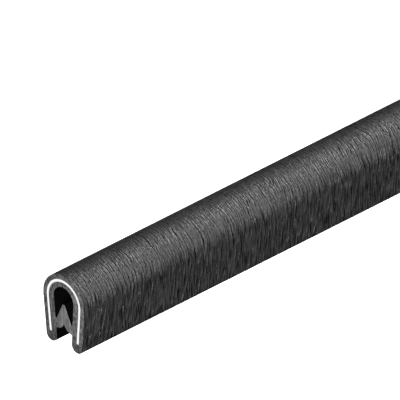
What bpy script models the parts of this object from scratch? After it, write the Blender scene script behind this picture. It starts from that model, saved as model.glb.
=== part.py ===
"""Edge trim seal: one foot of black PVC channel that pushes onto the edge of a sheet.

The channel is an arch on two legs that toe in, with round feet. A metal clamping strip runs all
round inside its wall, so the legs spring shut, and two lips stand up inside the mouth and meet on
the centre line. The section lies in the XZ plane and is carried along Y. The feet stand on z = 0,
and the origin is halfway along, on the centre line.
"""

import math

import bmesh
import bpy

# Driving sizes, in metres and degrees.
LENGTH = 0.3048
WIDTH = 0.0100
HEIGHT = 0.0138
SIDE_WALL = 0.0026
CROWN_WALL = 0.0023
OUTER_TOE_IN = 5.0
INNER_TOE_IN = 4.4
FOOT_FLAT = 0.0002

STRIP_THICKNESS = 0.00045
STRIP_COVER = 0.00093
STRIP_EDGE_HEIGHT = 0.00185
STRIP_GAP = 0.0003

LIP_ROOT_TOP = 0.0043
LIP_ROOT_DEPTH = 0.00132
LIP_FACE_SLOPE = 64.8
LIP_SHELF_SLOPE = 19.0
LIP_SHELF_REACH = 0.0012
LIP_NECK_SLOPE = 51.0
LIP_SLIT = 0.00005
LIP_TIP_RADIUS = 0.00012
LIP_ROOT_RADIUS = 0.0002
LIP_KNEE_RADIUS = 0.0006

# How finely round stretches are divided: one facet for each so many degrees.
ARCH_STEP = 5.0
CORNER_STEP = 12.0
SHARP_ANGLE = 35.0
CUTTER_OVERRUN = 0.005


class Arch:
    """Half a circle that runs on into two straight legs leaning in by toe_in degrees."""

    def __init__(self, radius, centre_height, toe_in):
        self.radius = radius
        self.centre_height = centre_height
        self.toe_in = math.radians(toe_in)

    def half_width(self, height):
        """Distance from the centre line to the leg's face at a height below the arch."""
        drop = self.centre_height - height
        return self.radius / math.cos(self.toe_in) - drop * math.tan(self.toe_in)

    def leg_point(self, height):
        """The point of the right leg's face at a height."""
        return (self.half_width(height), height)

    def crown_to_leg(self):
        """Points of the right half of the arch, from the top of the crown to the leg."""
        sweep = math.pi / 2 + self.toe_in
        steps = math.ceil(math.degrees(sweep) / ARCH_STEP)
        turns = [math.pi / 2 - sweep * i / steps for i in range(steps + 1)]
        return [
            (self.radius * math.cos(t), self.centre_height + self.radius * math.sin(t))
            for t in turns
        ]

    def offset(self, distance):
        """The same arch with its face moved out by a distance, or in if it is negative."""
        return Arch(self.radius + distance, self.centre_height, math.degrees(self.toe_in))


def rounded_corner(before, corner, after, radius):
    """Points of an arc that rounds a corner, no larger than its two sides leave room for."""
    sides = [(p[0] - corner[0], p[1] - corner[1]) for p in (before, after)]
    lengths = [math.hypot(*side) for side in sides]
    units = [(side[0] / n, side[1] / n) for side, n in zip(sides, lengths)]
    half = math.acos(units[0][0] * units[1][0] + units[0][1] * units[1][1]) / 2
    reach = min(radius / math.tan(half), 0.5 * min(lengths))
    radius = reach * math.tan(half)
    middle = (units[0][0] + units[1][0], units[0][1] + units[1][1])
    to_centre = radius / math.sin(half) / math.hypot(*middle)
    centre = (corner[0] + middle[0] * to_centre, corner[1] + middle[1] * to_centre)
    ends = [(corner[0] + u[0] * reach, corner[1] + u[1] * reach) for u in units]
    start, stop = (math.atan2(e[1] - centre[1], e[0] - centre[0]) for e in ends)
    turn = (stop - start + math.pi) % (2 * math.pi) - math.pi
    steps = math.ceil(abs(math.degrees(turn)) / CORNER_STEP)
    return [
        (
            centre[0] + radius * math.cos(start + turn * i / steps),
            centre[1] + radius * math.sin(start + turn * i / steps),
        )
        for i in range(steps + 1)
    ]


def round_off(corners):
    """A path through (point, radius) corners; a corner with no radius stays sharp."""
    path = []
    for i, (point, radius) in enumerate(corners):
        if radius:
            path += rounded_corner(corners[i - 1][0], point, corners[i + 1][0], radius)
        else:
            path.append(point)
    return path


def mirrored(half):
    """The closed outline of a right half, which starts and ends on the centre line."""
    return half + [(-x, z) for x, z in reversed(half[1:-1])]


def outer_arch():
    """The channel's outer face."""
    return Arch(WIDTH / 2, HEIGHT - WIDTH / 2, OUTER_TOE_IN)


def inner_arch():
    """The channel's inner face, set down from the crown by the crown's own wall."""
    radius = WIDTH / 2 - SIDE_WALL
    return Arch(radius, HEIGHT - CROWN_WALL - radius, INNER_TOE_IN)


def foot_corners(outer, inner):
    """The two lower corners of a leg, rounded so that a narrow flat is left to stand on."""
    outside = outer.leg_point(0.0)
    inside = inner.leg_point(0.0)
    tangents = 1 / math.tan(math.radians(90 + OUTER_TOE_IN) / 2)
    tangents += 1 / math.tan(math.radians(90 - INNER_TOE_IN) / 2)
    radius = (outside[0] - inside[0] - FOOT_FLAT) / tangents
    return [(outside, radius), (inside, radius)]


def lip_corners(inner):
    """The right lip from its lower root round to its upper root.

    Its underside leaves the wall as a shallow shelf and then climbs a steeper neck to the slit.
    Its upper face falls from the tip to the wall.
    """
    lower_root = inner.leg_point(LIP_ROOT_TOP - LIP_ROOT_DEPTH)
    upper_root = inner.leg_point(LIP_ROOT_TOP)
    slit = LIP_SLIT / 2
    knee_x = lower_root[0] - LIP_SHELF_REACH
    knee_z = lower_root[1] + LIP_SHELF_REACH * math.tan(math.radians(LIP_SHELF_SLOPE))
    neck_z = knee_z + (knee_x - slit) * math.tan(math.radians(LIP_NECK_SLOPE))
    tip_z = upper_root[1] + (upper_root[0] - slit) * math.tan(math.radians(LIP_FACE_SLOPE))
    return [
        (lower_root, LIP_ROOT_RADIUS),
        ((knee_x, knee_z), LIP_KNEE_RADIUS),
        ((slit, neck_z), LIP_TIP_RADIUS),
        ((slit, tip_z), LIP_TIP_RADIUS),
        (upper_root, LIP_ROOT_RADIUS),
    ]


def channel_outline():
    """The closed outline of the channel with its lips."""
    outer = outer_arch()
    inner = inner_arch()
    outer_half = outer.crown_to_leg()
    inner_half = inner.crown_to_leg()[::-1]
    corners = foot_corners(outer, inner) + lip_corners(inner)
    path = round_off([(outer_half[-1], 0), *corners, (inner_half[0], 0)])
    return mirrored(outer_half + path[1:-1] + inner_half)


def strip_outline(gap):
    """The closed outline of the clamping strip, or of its pocket with a gap all round."""
    outside = outer_arch().offset(gap - STRIP_COVER)
    inside = outer_arch().offset(-gap - STRIP_COVER - STRIP_THICKNESS)
    foot = STRIP_EDGE_HEIGHT - gap
    right = outside.crown_to_leg() + [outside.leg_point(foot), inside.leg_point(foot)]
    return mirrored(right + inside.crown_to_leg()[::-1])


def extruded(name, outline, length, material):
    """A closed bar of a section, centred on the origin along Y."""
    bm = bmesh.new()
    corners = [bm.verts.new((x, -length / 2, z)) for x, z in outline]
    end = bm.faces.new(corners)
    moved = bmesh.ops.extrude_face_region(bm, geom=[end])["geom"]
    bmesh.ops.translate(
        bm,
        verts=[v for v in moved if isinstance(v, bmesh.types.BMVert)],
        vec=(0.0, length, 0.0),
    )
    bmesh.ops.recalc_face_normals(bm, faces=bm.faces)
    mesh = bpy.data.meshes.new(name)
    bm.to_mesh(mesh)
    bm.free()
    mesh.shade_smooth()
    mesh.set_sharp_from_angle(angle=math.radians(SHARP_ANGLE))
    mesh.materials.append(material)
    piece = bpy.data.objects.new(name, mesh)
    bpy.context.scene.collection.objects.link(piece)
    return piece


def surface(name, colour, roughness, metallic):
    """A material of one colour, roughness and metallic value."""
    material = bpy.data.materials.new(name)
    material.use_nodes = True
    shader = material.node_tree.nodes["Principled BSDF"]
    shader.inputs["Base Color"].default_value = (*colour, 1.0)
    shader.inputs["Roughness"].default_value = roughness
    shader.inputs["Metallic"].default_value = metallic
    return material


def make_channel():
    """The PVC channel, with a pocket right through its wall for the strip."""
    pvc = surface("grained_black_pvc", (0.055, 0.055, 0.056), 0.55, 0.0)
    channel = extruded("trim_profile", channel_outline(), LENGTH, pvc)
    cutter = extruded(
        "strip_pocket", strip_outline(STRIP_GAP), LENGTH + 2 * CUTTER_OVERRUN, pvc
    )
    cutter.hide_render = True
    cutter.display_type = "WIRE"
    cut = channel.modifiers.new("strip pocket", "BOOLEAN")
    cut.operation = "DIFFERENCE"
    cut.solver = "EXACT"
    cut.object = cutter


def make_strip():
    """The clamping strip, cut off flush with the channel's ends."""
    steel = surface("bright_steel", (0.85, 0.85, 0.86), 0.3, 1.0)
    extruded("clamping_strip", strip_outline(0.0), LENGTH, steel)


def main():
    for thing in list(bpy.data.objects):
        bpy.data.objects.remove(thing, do_unlink=True)
    make_channel()
    make_strip()


main()
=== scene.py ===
"""Edge trim seal: the looks of one foot of black PVC edge trim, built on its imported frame.

The trim's skin is embossed with a fine grain that runs round the section. Here the section is
carried along the length as one closed mesh: the skin with the coarse relief of its grain, the feet,
the smooth inner walls and lips, the slot that the clamping strip fills, and the two cut ends.
Section sizes are in millimetres, scene sizes in metres. X is across, Y along and Z up.
"""

import math

import bpy
import numpy as np
from mathutils import Matrix
from mathutils import Vector


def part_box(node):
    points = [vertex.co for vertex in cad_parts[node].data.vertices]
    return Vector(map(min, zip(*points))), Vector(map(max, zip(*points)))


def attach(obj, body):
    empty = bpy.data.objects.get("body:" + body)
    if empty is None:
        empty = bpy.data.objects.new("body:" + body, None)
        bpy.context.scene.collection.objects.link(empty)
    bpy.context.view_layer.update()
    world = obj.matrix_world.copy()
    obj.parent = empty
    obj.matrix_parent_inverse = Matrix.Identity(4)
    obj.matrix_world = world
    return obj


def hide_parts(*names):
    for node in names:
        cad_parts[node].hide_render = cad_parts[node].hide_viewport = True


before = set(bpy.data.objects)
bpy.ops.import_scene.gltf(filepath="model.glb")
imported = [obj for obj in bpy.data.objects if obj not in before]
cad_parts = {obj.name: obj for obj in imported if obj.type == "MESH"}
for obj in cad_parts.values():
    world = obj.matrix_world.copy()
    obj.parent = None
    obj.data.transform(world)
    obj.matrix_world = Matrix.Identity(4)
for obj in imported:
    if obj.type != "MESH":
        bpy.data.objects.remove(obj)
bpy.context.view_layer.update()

MM = 0.001

# The trim's section, in millimetres and degrees. The overall sizes come from the frame.
LOW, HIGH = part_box("trim_profile")
WIDTH = (HIGH.x - LOW.x) / MM
HEIGHT = (HIGH.z - LOW.z) / MM
LENGTH = (HIGH.y - LOW.y) / MM
SIDE_WALL = 2.6
CROWN_WALL = 2.3
OUTER_TOE_IN = 5.0
INNER_TOE_IN = 4.4
FOOT_FLAT = 0.2

STRIP_COVER = 0.93
STRIP_THICKNESS = 0.45
STRIP_EDGE_HEIGHT = 1.85

LIP_ROOT_TOP = 4.3
LIP_ROOT_DEPTH = 1.32
LIP_FACE_SLOPE = 64.8
LIP_SHELF_SLOPE = 19.0
LIP_SHELF_REACH = 1.2
LIP_NECK_SLOPE = 51.0
LIP_TIP_RADIUS = 0.12
LIP_ROOT_RADIUS = 0.2
LIP_KNEE_RADIUS = 0.6
# The soft lips rest against each other, so only a hairline is left between them.
LIP_SLIT = 0.03

# How finely the grids are divided. Rows follow each other along the trim: the fine rows of the
# skin are a whole number of times the rows of the plain faces, which no grain covers.
SKIN_ROWS = 1400
PLAIN_ROWS = 14
# Steps round each half of the section: the crown's arch, a leg's straight and a foot's corner.
CROWN_STEPS = 14
LEG_STEPS = 12
FOOT_STEPS = 7
# Degrees: the turn of each step of the strip's arch and of a lip's corner, and the least turn
# of a sharp edge.
STRIP_STEP = 5.0
CORNER_STEP = 12.0
SHARP_ANGLE = 35.0

# The coarse relief of the grain: how far apart its rolls and folds are along the trim, how long
# they run round the section, and how deep they are pressed, all in millimetres.
ROLL_SPACING = 1.9
ROLL_RUN = 6.5
ROLL_DEPTH = 0.003
FOLD_SPACING = 0.85
FOLD_RUN = 3.4
FOLD_DEPTH = 0.009
# They lean to and fro by this much, over this distance, and fade out over the last stretch of skin.
GRAIN_LEAN = 0.8
GRAIN_LEAN_RUN = 9.0
GRAIN_FADE = 1.6
# The height of the tallest hill, the height of a hill below which it makes a fold, and a fold's
# gain.
HILL_TOP = 0.7
FOLD_START = 0.25
FOLD_GAIN = 1.6
GRAIN_SEED = 27

# The skin's grain in its material: noise drawn out round the section. Each row has its waves per
# millimetre along and round the trim, where it starts, and how much it is bent.
GRAIN_NOISE = {
    "close_sway": (0.25, 0.15, 3.0, 0.0),
    "close_tremor": (1.0, 0.25, 8.0, 0.0),
    "close_runs": (0.6, 0.13, 21.0, 0.0),
    "wide_sway": (0.25, 0.15, 47.0, 0.0),
    "wide_tremor": (1.0, 0.25, 52.0, 0.0),
    "wide_runs": (0.6, 0.13, 33.0, 0.0),
    "ripple": (0.7, 0.9, 83.0, 0.0),
    "streaks": (2.7, 0.4, 9.0, 0.35),
    "hairs": (1.8, 0.28, 71.0, 0.35),
    "pebbles": (3.2, 2.0, 61.0, 0.5),
}

# How deep the skin is pressed, from 0 to 1, where it is plain. A crease's dent goes so much deeper,
# the edges on both sides of it stand so high, and halfway to the next crease they have lost this.
PLAIN_DEPTH = 0.33
DENT_DEPTH = 0.68
EDGE_HEIGHT = 0.1
EDGE_LOSS = 0.07
# How far a dent reaches to each side and a ripple bends a crease, in millimetres, and over how
# much of its runs noise a crease breaks off.
DENT_REACH = 0.1
RIPPLE = 0.3
RUN_BLUR = 0.1
# The families of creases, 0.56 and 0.77 mm apart in runs of 4 to 8 mm. Each row has how many there
# are to a millimetre, how far they sway and tremble, in millimetres, and the level of their runs
# noise above which they show.
CREASES = {
    "close": (1.8, 1.6, 0.5, 0.36),
    "wide": (1.3, -1.6, -0.5, 0.4),
}
# The ground: streaks 0.4 mm apart and 2.5 mm long, and pebbles 0.3 by 0.5 mm. Each row has how
# deep they are on the crown and on a leg.
GROUND = {
    "streaks": (0.2, 1.5),
    "pebbles": (0.42, 0.3),
}
# The hairs, raised threads 2 to 4 mm long on the legs: the level of their noise where one begins
# and where it stands full, how deep the skin lies between them, and how high they stand.
HAIR_EDGE = 0.45
HAIR_RIDGE = 0.65
HAIR_GROUND = 0.2
HAIR_HEIGHT = 0.33
# How far round from the crown's top the bend's grain begins to give way to the flat leg's, and
# where it has done so, in millimetres.
BEND_END = 4.5
LEG_START = 8.0

# The cut is darker towards the left wall and towards the feet. It darkens from the right wall's
#  outer face across to the left wall, and from above the feet down to them: where, in millimetres,
#  and how light the cut is left there.
GRADIENT_RIGHT = 5.0
GRADIENT_LEFT = -3.5
GRADIENT_TOP = 3.5
GRADIENT_FOOT = 0.5
LEFT_SHADE = 0.5
FOOT_SHADE = 0.27
# The lips lie in an upright ellipse, which is a circle when squashed by this. The middle of the
# circle is so high, in millimetres, and the lips' finish goes over to the walls' between two radii.
LIPS_SQUASH = 0.7
LIPS_MIDDLE = 4.3
LIPS_INSIDE = 1.75
LIPS_OUTSIDE = 2.4
# How light the lips' cut is left, and how much of the walls' raggedness it has.
LIPS_SHADE = 1.75
LIPS_RAGGED = 0.15
# The level of the torn noise above which the PVC is torn.
TEAR = 0.42

# What any noise is on average, and soft PVC's refractive index.
NOISE_MEAN = 0.5
PVC_IOR = 1.5

# The light table: how far it reaches each way, in metres, and how brightly it glows.
TABLE_REACH = 2.0
TABLE_GLOW = 0.93

# The softboxes, all aimed at the origin from one distance, in metres. Each row has where it stands,
# as degrees round from before the near end and up, how long its sides are, and its watts.
SOFTBOX_DISTANCE = 0.7
SOFTBOXES = {
    "front_softbox": (28.0, 12.0, 0.25, 10.9),
    "rear_softbox": (178.0, 34.0, 0.4, 9.6),
    "side_softbox": (110.0, 12.0, 0.4, 6.1),
    "far_softbox": (315.0, 0.0, 0.4, 4.0),
}
# The room's own light on the trim, and the brightness at which the camera sees its backdrop.
ROOM_GLOW = 0.008
BACKDROP_GLOW = 1.0

# The camera: where it looks from, in degrees, and how wide its frame and how far it is, in metres.
CAMERA_AZIMUTH = 47.086
CAMERA_ELEVATION = 30.971
CAMERA_ROLL = -1.131
CAMERA_WIDTH = 0.06688
CAMERA_DISTANCE = 0.6
# The frame's middle lies this far right of and above the middle of the near end's arch.
FRAME_RIGHT = 0.02281
FRAME_UP = 0.01699


def arc(centre, radius, start, stop, steps):
    """Points and normals round a centre: centre + radius (cos t, sin t), with t even steps from
    start to stop in degrees."""
    turn = np.radians(np.linspace(start, stop, steps + 1))
    normals = np.column_stack((np.cos(turn), np.sin(turn)))
    return np.array(centre) + radius * normals, normals


def half_width(radius, centre_height, toe_in, height):
    """Distance from the centre line to a leg that leaves an arch and leans in by toe_in."""
    lean = math.radians(toe_in)
    return radius / math.cos(lean) - (centre_height - height) * math.tan(lean)


# The two arches, and the round feet: a foot's two arcs touch the faces of its leg and leave the
# flat between them. A reach is how far a corner's arc of radius 1 goes along its sides.
OUTER_RADIUS = WIDTH / 2
OUTER_CENTRE = HEIGHT - OUTER_RADIUS
INNER_RADIUS = OUTER_RADIUS - SIDE_WALL
INNER_CENTRE = HEIGHT - CROWN_WALL - INNER_RADIUS
OUTER_FOOT = half_width(OUTER_RADIUS, OUTER_CENTRE, OUTER_TOE_IN, 0.0)
INNER_FOOT = half_width(INNER_RADIUS, INNER_CENTRE, INNER_TOE_IN, 0.0)
OUTER_REACH = 1 / math.tan(math.radians(90 + OUTER_TOE_IN) / 2)
INNER_REACH = 1 / math.tan(math.radians(90 - INNER_TOE_IN) / 2)
FOOT_RADIUS = (OUTER_FOOT - INNER_FOOT - FOOT_FLAT) / (OUTER_REACH + INNER_REACH)


def both_sides(half):
    """A right half that starts on the centre line, with its mirror image before it."""
    return np.vstack((half[:0:-1] * (-1.0, 1.0), half))


def skin_section():
    """The outer face from foot to foot: points, outward normals and arc length from the crown.

    Each half is a quarter circle and toe_in more, a straight leg, and a round foot down to the
    flat that it stands on.
    """
    crown, crown_out = arc(
        (0.0, OUTER_CENTRE), OUTER_RADIUS, 90.0, -OUTER_TOE_IN, CROWN_STEPS
    )
    foot_centre = (OUTER_FOOT - FOOT_RADIUS * OUTER_REACH, FOOT_RADIUS)
    foot, foot_out = arc(foot_centre, FOOT_RADIUS, -OUTER_TOE_IN, -90.0, FOOT_STEPS)
    share = np.linspace(0.0, 1.0, LEG_STEPS + 1)[1:-1, None]
    leg = crown[-1] + share * (foot[0] - crown[-1])
    leg_out = np.tile(crown_out[-1], (len(leg), 1))
    points = both_sides(np.vstack((crown, leg, foot)))
    normals = both_sides(np.vstack((crown_out, leg_out, foot_out)))
    strides = np.linalg.norm(np.diff(points, axis=0), axis=1)
    run = np.concatenate(([0.0], np.cumsum(strides)))
    return points, normals, run - run[-1] / 2


def rounded(before, corner, after, radius):
    """The arc of a radius that touches both sides of a corner."""
    before, corner, after = (np.array(p, float) for p in (before, corner, after))
    sides = [(p - corner) / np.linalg.norm(p - corner) for p in (before, after)]
    half = math.acos(float(sides[0] @ sides[1])) / 2
    middle = (sides[0] + sides[1]) / np.linalg.norm(sides[0] + sides[1])
    centre = corner + middle * radius / math.sin(half)
    ends = [corner + side * radius / math.tan(half) - centre for side in sides]
    start, stop = (math.degrees(math.atan2(end[1], end[0])) for end in ends)
    turn = (stop - start + 180.0) % 360.0 - 180.0
    steps = math.ceil(abs(turn) / CORNER_STEP)
    return arc(centre, radius, start, start + turn, steps)[0]


def inner_section():
    """The inner face from foot to foot over the right lip, the cavity's arch and the left lip.

    Half of it starts on the centre line at the top of the cavity, comes down the wall to the lip's
    upper root, climbs the lip's face to its tip, drops down the slit, and runs along the neck and
    the shelf back to the wall, which ends in the round foot.
    """
    wall = (INNER_RADIUS, INNER_CENTRE, INNER_TOE_IN)
    lower_z = LIP_ROOT_TOP - LIP_ROOT_DEPTH
    lower_root = (half_width(*wall, lower_z), lower_z)
    upper_root = (half_width(*wall, LIP_ROOT_TOP), LIP_ROOT_TOP)
    slit = LIP_SLIT / 2
    knee_x = lower_root[0] - LIP_SHELF_REACH
    knee = (knee_x, lower_z + LIP_SHELF_REACH * math.tan(math.radians(LIP_SHELF_SLOPE)))
    neck = (slit, knee[1] + (knee_x - slit) * math.tan(math.radians(LIP_NECK_SLOPE)))
    rise = (upper_root[0] - slit) * math.tan(math.radians(LIP_FACE_SLOPE))
    tip = (slit, LIP_ROOT_TOP + rise)
    cavity = arc((0.0, INNER_CENTRE), INNER_RADIUS, 90.0, -INNER_TOE_IN, CROWN_STEPS)[0]
    foot_centre = (INNER_FOOT + FOOT_RADIUS * INNER_REACH, FOOT_RADIUS)
    foot = arc(foot_centre, FOOT_RADIUS, -180.0 - INNER_TOE_IN, -90.0, FOOT_STEPS)[0]
    half = np.vstack(
        (
            cavity,
            rounded(cavity[-1], upper_root, tip, LIP_ROOT_RADIUS),
            rounded(upper_root, tip, neck, LIP_TIP_RADIUS),
            rounded(tip, neck, knee, LIP_TIP_RADIUS),
            rounded(neck, knee, lower_root, LIP_KNEE_RADIUS),
            rounded(knee, lower_root, foot[0], LIP_ROOT_RADIUS),
            foot,
        )
    )
    return both_sides(half)


def strip_section():
    """The clamping strip's outline, in two faces that each run from foot to foot.

    Both faces are the outer arch moved in, by the cover and by the cover and the thickness.
    """
    steps = math.ceil((90.0 + OUTER_TOE_IN) / STRIP_STEP)
    faces = []
    for depth in (STRIP_COVER, STRIP_COVER + STRIP_THICKNESS):
        radius = OUTER_RADIUS - depth
        half = arc((0.0, OUTER_CENTRE), radius, 90.0, -OUTER_TOE_IN, steps)[0]
        edge_x = half_width(radius, OUTER_CENTRE, OUTER_TOE_IN, STRIP_EDGE_HEIGHT)
        faces.append(both_sides(np.vstack((half, (edge_x, STRIP_EDGE_HEIGHT)))))
    return faces


def hills(u, v, seed):
    """Smooth random hills between about -0.7 and 0.7.

    At every whole u and v stands a random slope. A point takes the slopes of the four round it,
    each times its distance from there, blended by the curve 6t^5 - 15t^4 + 10t^3.
    """
    column = np.floor(u).astype(int)
    row = np.floor(v).astype(int)
    across = u - column
    along = v - row
    column -= column.min()
    row -= row.min()
    turn = np.random.default_rng(seed).uniform(
        0.0, 2.0 * np.pi, (column.max() + 2, row.max() + 2)
    )

    def slope(i, j):
        way = turn[column + i, row + j]
        return np.cos(way) * (across - i) + np.sin(way) * (along - j)

    blend_u = across**3 * (across * (6 * across - 15) + 10)
    blend_v = along**3 * (along * (6 * along - 15) + 10)
    low = slope(0, 0) + blend_u * (slope(1, 0) - slope(0, 0))
    high = slope(0, 1) + blend_u * (slope(1, 1) - slope(0, 1))
    return low + blend_v * (high - low)


def grain_relief(along, run):
    """How far the grain is pressed in, in millimetres, at a place along and round the trim.

    The rolls and folds are hills drawn out round the section. A slow sideways wander makes them
    lean to and fro. A roll is pressed in by what its hill lacks of HILL_TOP, and a fold by the
    square of what its hill lacks of FOLD_START. All of it fades out where the foot turns under,
    by the curve 3t^2 - 2t^3.
    """
    lean = GRAIN_LEAN * hills(along / GRAIN_LEAN_RUN, run / GRAIN_LEAN_RUN, GRAIN_SEED)
    place = along + lean
    roll = hills(place / ROLL_SPACING, run / ROLL_RUN, GRAIN_SEED + 1)
    fold = hills(place / FOLD_SPACING, run / FOLD_RUN, GRAIN_SEED + 2)
    rolled = ROLL_DEPTH * (HILL_TOP - roll)
    folded = FOLD_DEPTH * (FOLD_GAIN * np.maximum(FOLD_START - fold, 0.0)) ** 2
    fade = np.clip((np.abs(run).max() - np.abs(run)) / GRAIN_FADE, 0.0, 1.0)
    return (rolled + folded) * fade * fade * (3.0 - 2.0 * fade)


def sheet_faces(grid, turned=False):
    """Four-sided faces of a grid of vertex numbers, turned over if asked."""
    corners = (grid[:-1, :-1], grid[1:, :-1], grid[1:, 1:], grid[:-1, 1:])
    faces = np.column_stack([corner.ravel() for corner in corners])
    return faces[:, ::-1] if turned else faces


def slot_edge_faces(outer, inner):
    """Faces of the slot's two narrow edges, which join its outer face to its inner one."""
    edges = ((outer[:, 0], inner[:, 0]), (inner[:, -1], outer[:, -1]))
    return [
        np.column_stack((one[:-1], one[1:], other[1:], other[:-1])) for one, other in edges
    ]


def foot_flat_faces(skin, inner):
    """Faces of the flat under each foot, from the skin's fine edge to the inner face's coarse one.

    Every coarse vertex sends a fan to the fine stretch that starts level with it, and one
    triangle fills the gap up to the next fan.
    """
    rows_each = SKIN_ROWS // PLAIN_ROWS
    hub_of = np.arange(SKIN_ROWS) // rows_each
    flats = []
    for side, turned in ((0, True), (-1, False)):
        edge = skin[:, side]
        hub = inner[:, side]
        fan = np.column_stack((edge[:-1], edge[1:], hub[hub_of]))
        gap = np.column_stack((edge[rows_each::rows_each], hub[1:], hub[:-1]))
        flats += [face[:, ::-1] if turned else face for face in (fan, gap)]
    return flats


def cut_end_faces(grids):
    """Two flat faces for each cut end, parted on the centre line, that leave the slot open."""
    faces = []
    for row, turned in ((0, False), (-1, True)):
        for way in (1, -1):
            skin, inner, slot_outer, slot_inner = (
                grid[row, ::way][grid.shape[1] // 2 :] for grid in grids
            )
            face = np.concatenate((skin, inner[::-1], slot_inner, slot_outer[::-1]))
            faces.append(face[::-1] if turned != (way == 1) else face)
    return faces


def swept(section, along):
    """A grid of vertices: the section's points repeated at each place along Y."""
    y, x = np.meshgrid(along, section[:, 0], indexing="ij")
    z = np.broadcast_to(section[:, 1], x.shape)
    return np.stack((x, y, z), axis=-1)


def put_in(name, vertices, faces, materials, material_of, unrolled):
    """Makes a smooth mesh with sharp corners, in metres, from arrays in millimetres."""
    mesh = bpy.data.meshes.new(name)
    mesh.from_pydata(vertices * MM, [], faces)
    for material in materials:
        mesh.materials.append(material)
    mesh.polygons.foreach_set("material_index", material_of.astype(np.int32))
    place = mesh.attributes.new("unrolled", "FLOAT_VECTOR", "POINT")
    place.data.foreach_set("vector", unrolled.astype(np.float32).ravel())
    mesh.shade_smooth()
    mesh.set_sharp_from_angle(angle=math.radians(SHARP_ANGLE))
    mesh.validate()
    piece = bpy.data.objects.new(name, mesh)
    bpy.context.scene.collection.objects.link(piece)
    return piece


def make_trim(skin_pvc, inner_pvc, cut_pvc):
    """The whole trim as one closed mesh, standing on its two feet.

    The skin is section - relief times normal, on a fine grid. The inner face and the strip's slot
    are their sections carried along on a coarse one. The skin's vertices keep their place on the
    unrolled skin, along and round the trim, and how far they are pressed in.
    """
    section, normals, run = skin_section()
    fine = np.linspace(-LENGTH / 2, LENGTH / 2, SKIN_ROWS + 1)
    coarse = np.linspace(-LENGTH / 2, LENGTH / 2, PLAIN_ROWS + 1)
    along, around = np.meshgrid(fine, run, indexing="ij")
    pressed = grain_relief(along, around)
    skin = swept(section, fine)
    skin[..., 0] -= pressed * normals[:, 0]
    skin[..., 2] -= pressed * normals[:, 1]
    grids = [skin] + [swept(plain, coarse) for plain in (inner_section(), *strip_section())]
    vertices = np.vstack([grid.reshape(-1, 3) for grid in grids])

    sizes = [grid.shape[0] * grid.shape[1] for grid in grids]
    numbers = np.split(np.arange(len(vertices)), np.cumsum(sizes)[:-1])
    numbers = [number.reshape(grid.shape[:2]) for number, grid in zip(numbers, grids)]
    skin_numbers, inner_numbers, slot_outer, slot_inner = numbers
    plain_faces = [
        sheet_faces(inner_numbers, turned=True),
        sheet_faces(slot_outer, turned=True),
        sheet_faces(slot_inner),
        *slot_edge_faces(slot_outer, slot_inner),
        *foot_flat_faces(skin_numbers, inner_numbers),
    ]
    by_material = (
        sheet_faces(skin_numbers).tolist(),
        [face for group in plain_faces for face in group.tolist()],
        [face.tolist() for face in cut_end_faces(numbers)],
    )
    faces = [face for group in by_material for face in group]
    material_of = np.repeat((0, 1, 2), [len(group) for group in by_material])

    unrolled = np.zeros((len(vertices), 3))
    places = (along, around, pressed / (ROLL_DEPTH + FOLD_DEPTH))
    unrolled[: skin_numbers.size] = np.stack(places, axis=-1).reshape(-1, 3)
    materials = (skin_pvc, inner_pvc, cut_pvc)
    return put_in("edge_trim_body", vertices, faces, materials, material_of, unrolled)


def linear(colour):
    """An sRGB hex colour as the linear values that a shader takes."""
    values = [int(colour[i : i + 2], 16) / 255 for i in (1, 3, 5)]
    return [v / 12.92 if v <= 0.04045 else ((v + 0.055) / 1.055) ** 2.4 for v in values] + [1.0]


def feed(tree, node, inputs):
    """Sets each input of a node to a value, or joins it to another node's output.

    An input goes by its name or its number. Those of a Map Range from 1 to 4 are the lowest and
    highest value that it takes and the lowest and highest that it gives.
    """
    for name, value in inputs.items():
        if isinstance(value, bpy.types.NodeSocket):
            tree.links.new(value, node.inputs[name])
        else:
            node.inputs[name].default_value = value


def add(tree, kind, inputs=None, **settings):
    """Adds a node with its settings and links."""
    node = tree.nodes.new(kind)
    for name, value in settings.items():
        setattr(node, name, value)
    feed(tree, node, inputs or {})
    return node


def new_material(name):
    """An empty node tree with a shader that is joined to its output."""
    material = bpy.data.materials.new(name)
    material.use_nodes = True
    return material, material.node_tree, material.node_tree.nodes["Principled BSDF"]


def grain_noise(tree, place):
    """The noise fields of the grain, by name."""
    fields = {}
    for name, (per_mm_along, per_mm_round, start, bend) in GRAIN_NOISE.items():
        stretched = add(
            tree,
            "ShaderNodeVectorMath",
            {0: place, 1: (per_mm_along, per_mm_round, 0.0), 2: (start, start, 0.0)},
            operation="MULTIPLY_ADD",
        )
        field = add(
            tree,
            "ShaderNodeTexNoise",
            {"Vector": stretched.outputs[0], "Scale": 1.0, "Detail": 0.0, "Distortion": bend},
        )
        fields[name] = field.outputs["Fac"]
    return fields


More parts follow.
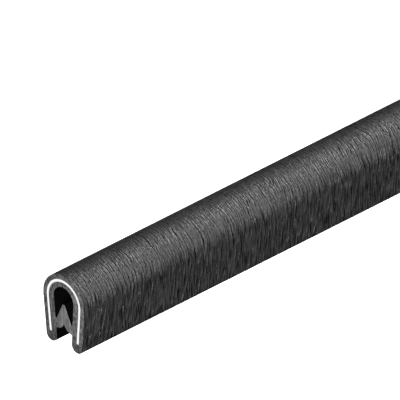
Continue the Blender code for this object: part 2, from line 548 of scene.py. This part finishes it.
def press_creases(tree, pressed, along, fields, family):
    """Presses a family of creases into the skin.

    The place along, bent by a slow sway, a quick tremor and a ripple, is counted in creases, and
    the distance to the nearest is turned into a dark dent with a raised edge on both sides. The
    family's runs noise breaks each crease into runs.
    """
    per_mm, sway, tremor, run_start = CREASES[family]
    for name, reach in ((family + "_sway", sway), (family + "_tremor", tremor), ("ripple", RIPPLE)):
        along = add(
            tree,
            "ShaderNodeMath",
            {0: fields[name], 1: reach, 2: along},
            operation="MULTIPLY_ADD",
        ).outputs[0]
    counted = add(tree, "ShaderNodeMath", {0: along, 1: per_mm}, operation="MULTIPLY")
    halfway = 0.5
    rim = DENT_REACH * per_mm
    away = add(tree, "ShaderNodeMath", {0: counted.outputs[0], 1: halfway}, operation="PINGPONG")
    dent = add(
        tree,
        "ShaderNodeMapRange",
        {"Value": away.outputs[0], 1: 0.0, 2: rim, 3: DENT_DEPTH, 4: -EDGE_HEIGHT},
        interpolation_type="SMOOTHSTEP",
    )
    fall = add(
        tree,
        "ShaderNodeMapRange",
        {"Value": away.outputs[0], 1: rim, 2: halfway, 3: 0.0, 4: EDGE_LOSS},
        interpolation_type="SMOOTHSTEP",
    )
    shape = add(tree, "ShaderNodeMath", {0: dent.outputs[0], 1: fall.outputs[0]}, operation="ADD")
    run = add(
        tree,
        "ShaderNodeMapRange",
        {"Value": fields[family + "_runs"], 1: run_start, 2: run_start + RUN_BLUR},
        interpolation_type="SMOOTHSTEP",
    )
    return add(
        tree,
        "ShaderNodeMath",
        {0: shape.outputs[0], 1: run.outputs["Result"], 2: pressed},
        operation="MULTIPLY_ADD",
    ).outputs[0]


def press_ground(tree, pressed, around, fields):
    """Presses streaks and pebbles into the skin and raises hairs.

    The streaks are deeper on the legs and the pebbles on the crown, and only the legs have hairs.
    """
    from_crown = add(tree, "ShaderNodeMath", {0: around}, operation="ABSOLUTE")
    on_leg = add(
        tree,
        "ShaderNodeMapRange",
        {"Value": from_crown.outputs[0], 1: BEND_END, 2: LEG_START},
        interpolation_type="SMOOTHSTEP",
    )
    for name, (crown_depth, leg_depth) in GROUND.items():
        wave = add(tree, "ShaderNodeMath", {0: NOISE_MEAN, 1: fields[name]}, operation="SUBTRACT")
        depth = add(
            tree,
            "ShaderNodeMapRange",
            {"Value": on_leg.outputs[0], 3: crown_depth, 4: leg_depth},
        )
        pressed = add(
            tree,
            "ShaderNodeMath",
            {0: wave.outputs[0], 1: depth.outputs[0], 2: pressed},
            operation="MULTIPLY_ADD",
        ).outputs[0]
    hair = add(
        tree,
        "ShaderNodeMapRange",
        {"Value": fields["hairs"], 1: HAIR_EDGE, 2: HAIR_RIDGE, 3: HAIR_GROUND, 4: -HAIR_HEIGHT},
        interpolation_type="SMOOTHSTEP",
    )
    return add(
        tree,
        "ShaderNodeMath",
        {0: on_leg.outputs[0], 1: hair.outputs[0], 2: pressed},
        operation="MULTIPLY_ADD",
    ).outputs[0]


def embossed_black_pvc():
    """Soft PVC, extruded and embossed with a hot roller while it is warm.

    The eye sees matte black. Where the skin is bent round the crown its creases open into long
    dark lines on a finely pebbled ground, and on the flat legs light hairs stand on a darker one.
    The base colour is darker the deeper the skin is pressed: painted shade in the creases, the
    dents and between the hairs, and a painted highlight on the raised hairs and the crease edges.
    """
    material, tree, shader = new_material("embossed_black_pvc")
    place = add(tree, "ShaderNodeAttribute", attribute_name="unrolled").outputs["Vector"]
    apart = add(tree, "ShaderNodeSeparateXYZ", {0: place})
    fields = grain_noise(tree, place)

    pressed = PLAIN_DEPTH
    for family in CREASES:
        pressed = press_creases(tree, pressed, apart.outputs["X"], fields, family)
    pressed = press_ground(tree, pressed, apart.outputs["Y"], fields)

    # Darker the deeper it is pressed: painted shade in creases and dents, painted highlight on
    # raised hairs and crease edges.
    colour = add(tree, "ShaderNodeValToRGB", {"Fac": pressed})
    colour.color_ramp.elements[0].color = linear("#1b1b1c")
    colour.color_ramp.elements[1].color = linear("#030303")
    rough = add(tree, "ShaderNodeMapRange", {"Value": pressed, 3: 0.46, 4: 0.74})
    # A crease shades itself, so it gives back less of the shine.
    shine = add(tree, "ShaderNodeMapRange", {"Value": pressed, 3: 0.64, 4: 0.0})
    height = add(tree, "ShaderNodeMath", {0: 1.0, 1: pressed}, operation="SUBTRACT")
    bump = add(
        tree,
        "ShaderNodeBump",
        {"Height": height.outputs[0], "Strength": 1.0, "Distance": 0.28 * MM},
    )
    surface = {
        "Base Color": colour.outputs["Color"],
        "Roughness": rough.outputs["Result"],
        "Specular IOR Level": shine.outputs["Result"],
        "Normal": bump.outputs["Normal"],
        "IOR": PVC_IOR,
    }
    feed(tree, shader, surface)
    return material


def extruded_pvc_painted_shade():
    """Soft PVC as the die leaves it: smooth, with faint lines along the length. It is coloured
    near black, darker than the skin, and given no shine: painted shade for the cavity and the
    other inner faces.
    """
    material, tree, shader = new_material("extruded_pvc_painted_shade")
    place = add(tree, "ShaderNodeTexCoord").outputs["Object"]

    # Die lines: 0.15 mm apart across the section, and unbroken for about 60 mm along it.
    lines = add(
        tree,
        "ShaderNodeVectorMath",
        {0: place, 1: (6.5 / MM, 0.016 / MM, 6.5 / MM)},
        operation="MULTIPLY",
    )
    noise = {"Vector": lines.outputs[0], "Scale": 1.0, "Detail": 2.0}
    drawn = add(tree, "ShaderNodeTexNoise", noise).outputs["Fac"]
    # Near black, darker than the skin, and no shine below: painted shade for the cavity and inner
    # faces.
    colour = add(tree, "ShaderNodeValToRGB", {"Fac": drawn})
    colour.color_ramp.elements[0].color = linear("#030303")
    colour.color_ramp.elements[1].color = linear("#070707")
    rough = add(tree, "ShaderNodeMapRange", {"Value": drawn, 3: 0.6, 4: 0.8})
    bump = add(tree, "ShaderNodeBump", {"Height": drawn, "Strength": 0.5, "Distance": 0.01 * MM})
    surface = {
        "Base Color": colour.outputs["Color"],
        "Roughness": rough.outputs["Result"],
        "Normal": bump.outputs["Normal"],
        "IOR": PVC_IOR,
        "Specular IOR Level": 0.0,
    }
    feed(tree, shader, surface)
    return material


def cut_marks(tree, place):
    """Blade marks 0.4 mm apart across the cut and about 3 mm long, and torn spots 0.4 mm across
    and 0.8 mm high: two noise fields of so many waves a millimetre across and up."""
    fields = []
    for per_mm_across, per_mm_up, detail in ((2.3, 0.35, 2.0), (2.5, 1.3, 1.0)):
        stretched = add(
            tree,
            "ShaderNodeVectorMath",
            {0: place, 1: (per_mm_across / MM, 0.0, per_mm_up / MM)},
            operation="MULTIPLY",
        )
        field = add(
            tree,
            "ShaderNodeTexNoise",
            {"Vector": stretched.outputs[0], "Scale": 1.0, "Detail": detail, "Distortion": 0.6},
        )
        fields.append(field.outputs["Fac"])
    return fields


def darker_left_and_low(tree, place):
    """How light the cut is left: darker towards the left wall and towards the feet."""
    apart = add(tree, "ShaderNodeSeparateXYZ", {0: place})
    wall = add(
        tree,
        "ShaderNodeMapRange",
        {"Value": apart.outputs["X"], 1: GRADIENT_LEFT * MM, 2: GRADIENT_RIGHT * MM, 3: LEFT_SHADE, 4: 1.0},
        interpolation_type="SMOOTHSTEP",
    )
    heights = {1: GRADIENT_FOOT * MM, 2: GRADIENT_TOP * MM}
    return add(
        tree,
        "ShaderNodeMapRange",
        {"Value": apart.outputs["Z"], **heights, 3: FOOT_SHADE, 4: wall.outputs[0]},
        interpolation_type="SMOOTHSTEP",
    ).outputs[0]


def on_the_lips(tree, place, in_lips):
    """Values that are 1 on the walls and the ones given on the lips."""
    squash = (1.0, 0.0, LIPS_SQUASH)
    middle = (0.0, 0.0, LIPS_MIDDLE * MM)
    squashed = add(tree, "ShaderNodeVectorMath", {0: place, 1: squash}, operation="MULTIPLY")
    away = add(
        tree,
        "ShaderNodeVectorMath",
        {0: squashed.outputs[0], 1: middle},
        operation="DISTANCE",
    )
    radii = {1: LIPS_INSIDE * MM, 2: LIPS_OUTSIDE * MM}
    return [
        add(
            tree,
            "ShaderNodeMapRange",
            {"Value": away.outputs["Value"], **radii, 3: value, 4: 1.0},
            interpolation_type="SMOOTHSTEP",
        ).outputs["Result"]
        for value in in_lips
    ]


def cut_black_pvc():
    """The same PVC where a blade has gone through it.

    The cut is duller and greyer than the skin, with faint upright marks from the blade and small
    torn spots between them. The lips give way to the blade, so their cut is lighter and evener.
    """
    material, tree, shader = new_material("cut_black_pvc")
    place = add(tree, "ShaderNodeTexCoord").outputs["Object"]
    drag, torn = cut_marks(tree, place)
    lightness, raggedness = on_the_lips(tree, place, (LIPS_SHADE, LIPS_RAGGED))
    torn = add(
        tree,
        "ShaderNodeMix",
        {0: raggedness, 2: NOISE_MEAN, 3: torn},
        data_type="FLOAT",
    ).outputs[0]
    spots = add(
        tree,
        "ShaderNodeMapRange",
        {"Value": torn, 1: TEAR, 2: 0.62, 3: 1.15, 4: 0.5},
        interpolation_type="SMOOTHSTEP",
    )

    colour = add(tree, "ShaderNodeValToRGB", {"Fac": drag})
    colour.color_ramp.elements[0].position = 0.33
    colour.color_ramp.elements[0].color = linear("#252525")
    colour.color_ramp.elements[1].position = 0.67
    colour.color_ramp.elements[1].color = linear("#464647")
    shade = darker_left_and_low(tree, place)
    for part in (lightness, spots.outputs[0]):
        shade = add(tree, "ShaderNodeMath", {0: shade, 1: part}, operation="MULTIPLY").outputs[0]
    shaded = add(
        tree,
        "ShaderNodeVectorMath",
        {0: colour.outputs["Color"], "Scale": shade},
        operation="SCALE",
    )

    # Where the blade tore the soft PVC the cut is sunk and dull.
    rough = add(tree, "ShaderNodeMapRange", {"Value": drag, 3: 0.7, 4: 0.9})
    shine = add(
        tree,
        "ShaderNodeMapRange",
        {"Value": torn, 1: TEAR, 2: 0.6, 3: 0.64, 4: 0.3},
        interpolation_type="SMOOTHSTEP",
    )
    ragged = add(tree, "ShaderNodeMath", {0: drag, 1: torn}, operation="SUBTRACT")
    bump = add(
        tree,
        "ShaderNodeBump",
        {"Height": ragged.outputs[0], "Strength": 1.0, "Distance": 0.08 * MM},
    )
    surface = {
        "Base Color": shaded.outputs[0],
        "Roughness": rough.outputs["Result"],
        "Specular IOR Level": shine.outputs["Result"],
        "Normal": bump.outputs["Normal"],
        "IOR": PVC_IOR,
    }
    feed(tree, shader, surface)
    return material


def sheared_bright_steel():
    """Bright steel strip, sheared off with the trim: a light, finely scored edge."""
    material, tree, shader = new_material("sheared_bright_steel")
    place = add(tree, "ShaderNodeTexCoord").outputs["Object"]

    # Scores from the shears, 0.2 mm apart and 0.6 mm high, which is coarse enough to show.
    scores = add(
        tree,
        "ShaderNodeVectorMath",
        {0: place, 1: (5.0 / MM, 0.9 / MM, 1.6 / MM)},
        operation="MULTIPLY",
    )
    noise = {"Vector": scores.outputs[0], "Scale": 1.0, "Detail": 2.0}
    scored = add(tree, "ShaderNodeTexNoise", noise).outputs["Fac"]
    colour = add(tree, "ShaderNodeValToRGB", {"Fac": scored})
    colour.color_ramp.elements[0].color = linear("#c1c1c1")
    colour.color_ramp.elements[1].color = linear("#d6d6d6")
    rough = add(tree, "ShaderNodeMapRange", {"Value": scored, 3: 0.75, 4: 0.9})
    bump = add(tree, "ShaderNodeBump", {"Height": scored, "Strength": 0.4, "Distance": 0.02 * MM})
    surface = {
        "Base Color": colour.outputs["Color"],
        "Roughness": rough.outputs["Result"],
        "Normal": bump.outputs["Normal"],
        "Metallic": 1.0,
    }
    feed(tree, shader, surface)
    return material


def opal_white_acrylic():
    """Opal white acrylic sheet, cast, and lit from below: an even white glow with no shine."""
    material, tree, shader = new_material("opal_white_acrylic")
    surface = {
        "Base Color": linear("#f4f4f4"),
        "Roughness": 1.0,
        "Specular IOR Level": 0.0,
        "Emission Color": linear("#ffffff"),
        "Emission Strength": TABLE_GLOW,
    }
    feed(tree, shader, surface)
    return material


def make_floor():
    """A light table: a plain white sheet that the trim stands on."""
    mesh = bpy.data.meshes.new("light_table")
    turns = ((-1, -1), (1, -1), (1, 1), (-1, 1))
    corners = [(x * TABLE_REACH, y * TABLE_REACH, 0.0) for x, y in turns]
    mesh.from_pydata(corners, [], [(0, 1, 2, 3)])
    mesh.materials.append(opal_white_acrylic())
    floor = bpy.data.objects.new("light_table", mesh)
    # The camera sees the table, but its glow is kept off the black trim.
    floor.visible_glossy = False
    floor.visible_diffuse = False
    bpy.context.scene.collection.objects.link(floor)


def facing(azimuth, elevation, roll=0.0):
    """The turn of something that looks at the trim from a direction, all in degrees."""
    turn = Matrix.Rotation(math.radians(azimuth), 4, "Z")
    tilt = Matrix.Rotation(math.radians(90.0 - elevation), 4, "X")
    return turn @ tilt @ Matrix.Rotation(math.radians(roll), 4, "Z")


def make_studio():
    """Softboxes low before the cut end, high up behind and low at both sides, in a dark room."""
    for name, (azimuth, elevation, size, power) in SOFTBOXES.items():
        lamp = bpy.data.lights.new(name, "AREA")
        lamp.shape = "SQUARE"
        lamp.size = size
        lamp.energy = power
        box = bpy.data.objects.new(name, lamp)
        away = Matrix.Translation((0.0, 0.0, SOFTBOX_DISTANCE))
        box.matrix_world = facing(azimuth, elevation) @ away
        bpy.context.scene.collection.objects.link(box)

    world = bpy.data.worlds.new("studio_room")
    bpy.context.scene.world = world
    world.use_nodes = True
    tree = world.node_tree
    room = tree.nodes["Background"]
    feed(tree, room, {"Color": linear("#ffffff"), "Strength": ROOM_GLOW})
    shown = {"Color": linear("#ffffff"), "Strength": BACKDROP_GLOW}
    backdrop = add(tree, "ShaderNodeBackground", shown)
    seen = add(tree, "ShaderNodeLightPath").outputs["Is Camera Ray"]
    mixed = add(
        tree,
        "ShaderNodeMixShader",
        {0: seen, 1: room.outputs[0], 2: backdrop.outputs[0]},
    )
    feed(tree, tree.nodes["World Output"], {"Surface": mixed.outputs[0]})


def make_camera():
    """A camera without perspective, at the photograph's angle."""
    turn = facing(CAMERA_AZIMUTH, CAMERA_ELEVATION, CAMERA_ROLL)
    near_arch = Vector((0.0, LOW.y, OUTER_CENTRE * MM))
    place = near_arch + turn @ Vector((FRAME_RIGHT, FRAME_UP, CAMERA_DISTANCE))
    lens = bpy.data.cameras.new("camera")
    lens.type = "ORTHO"
    lens.ortho_scale = CAMERA_WIDTH
    camera = bpy.data.objects.new("camera", lens)
    camera.matrix_world = Matrix.Translation(place) @ turn
    bpy.context.scene.collection.objects.link(camera)
    bpy.context.scene.camera = camera
    bpy.context.scene.view_settings.view_transform = "Standard"


trim = make_trim(embossed_black_pvc(), extruded_pvc_painted_shade(), cut_black_pvc())
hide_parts("trim_profile")
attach(trim, "root")
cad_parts["clamping_strip"].material_slots[0].material = sheared_bright_steel()

make_floor()
make_studio()
make_camera()
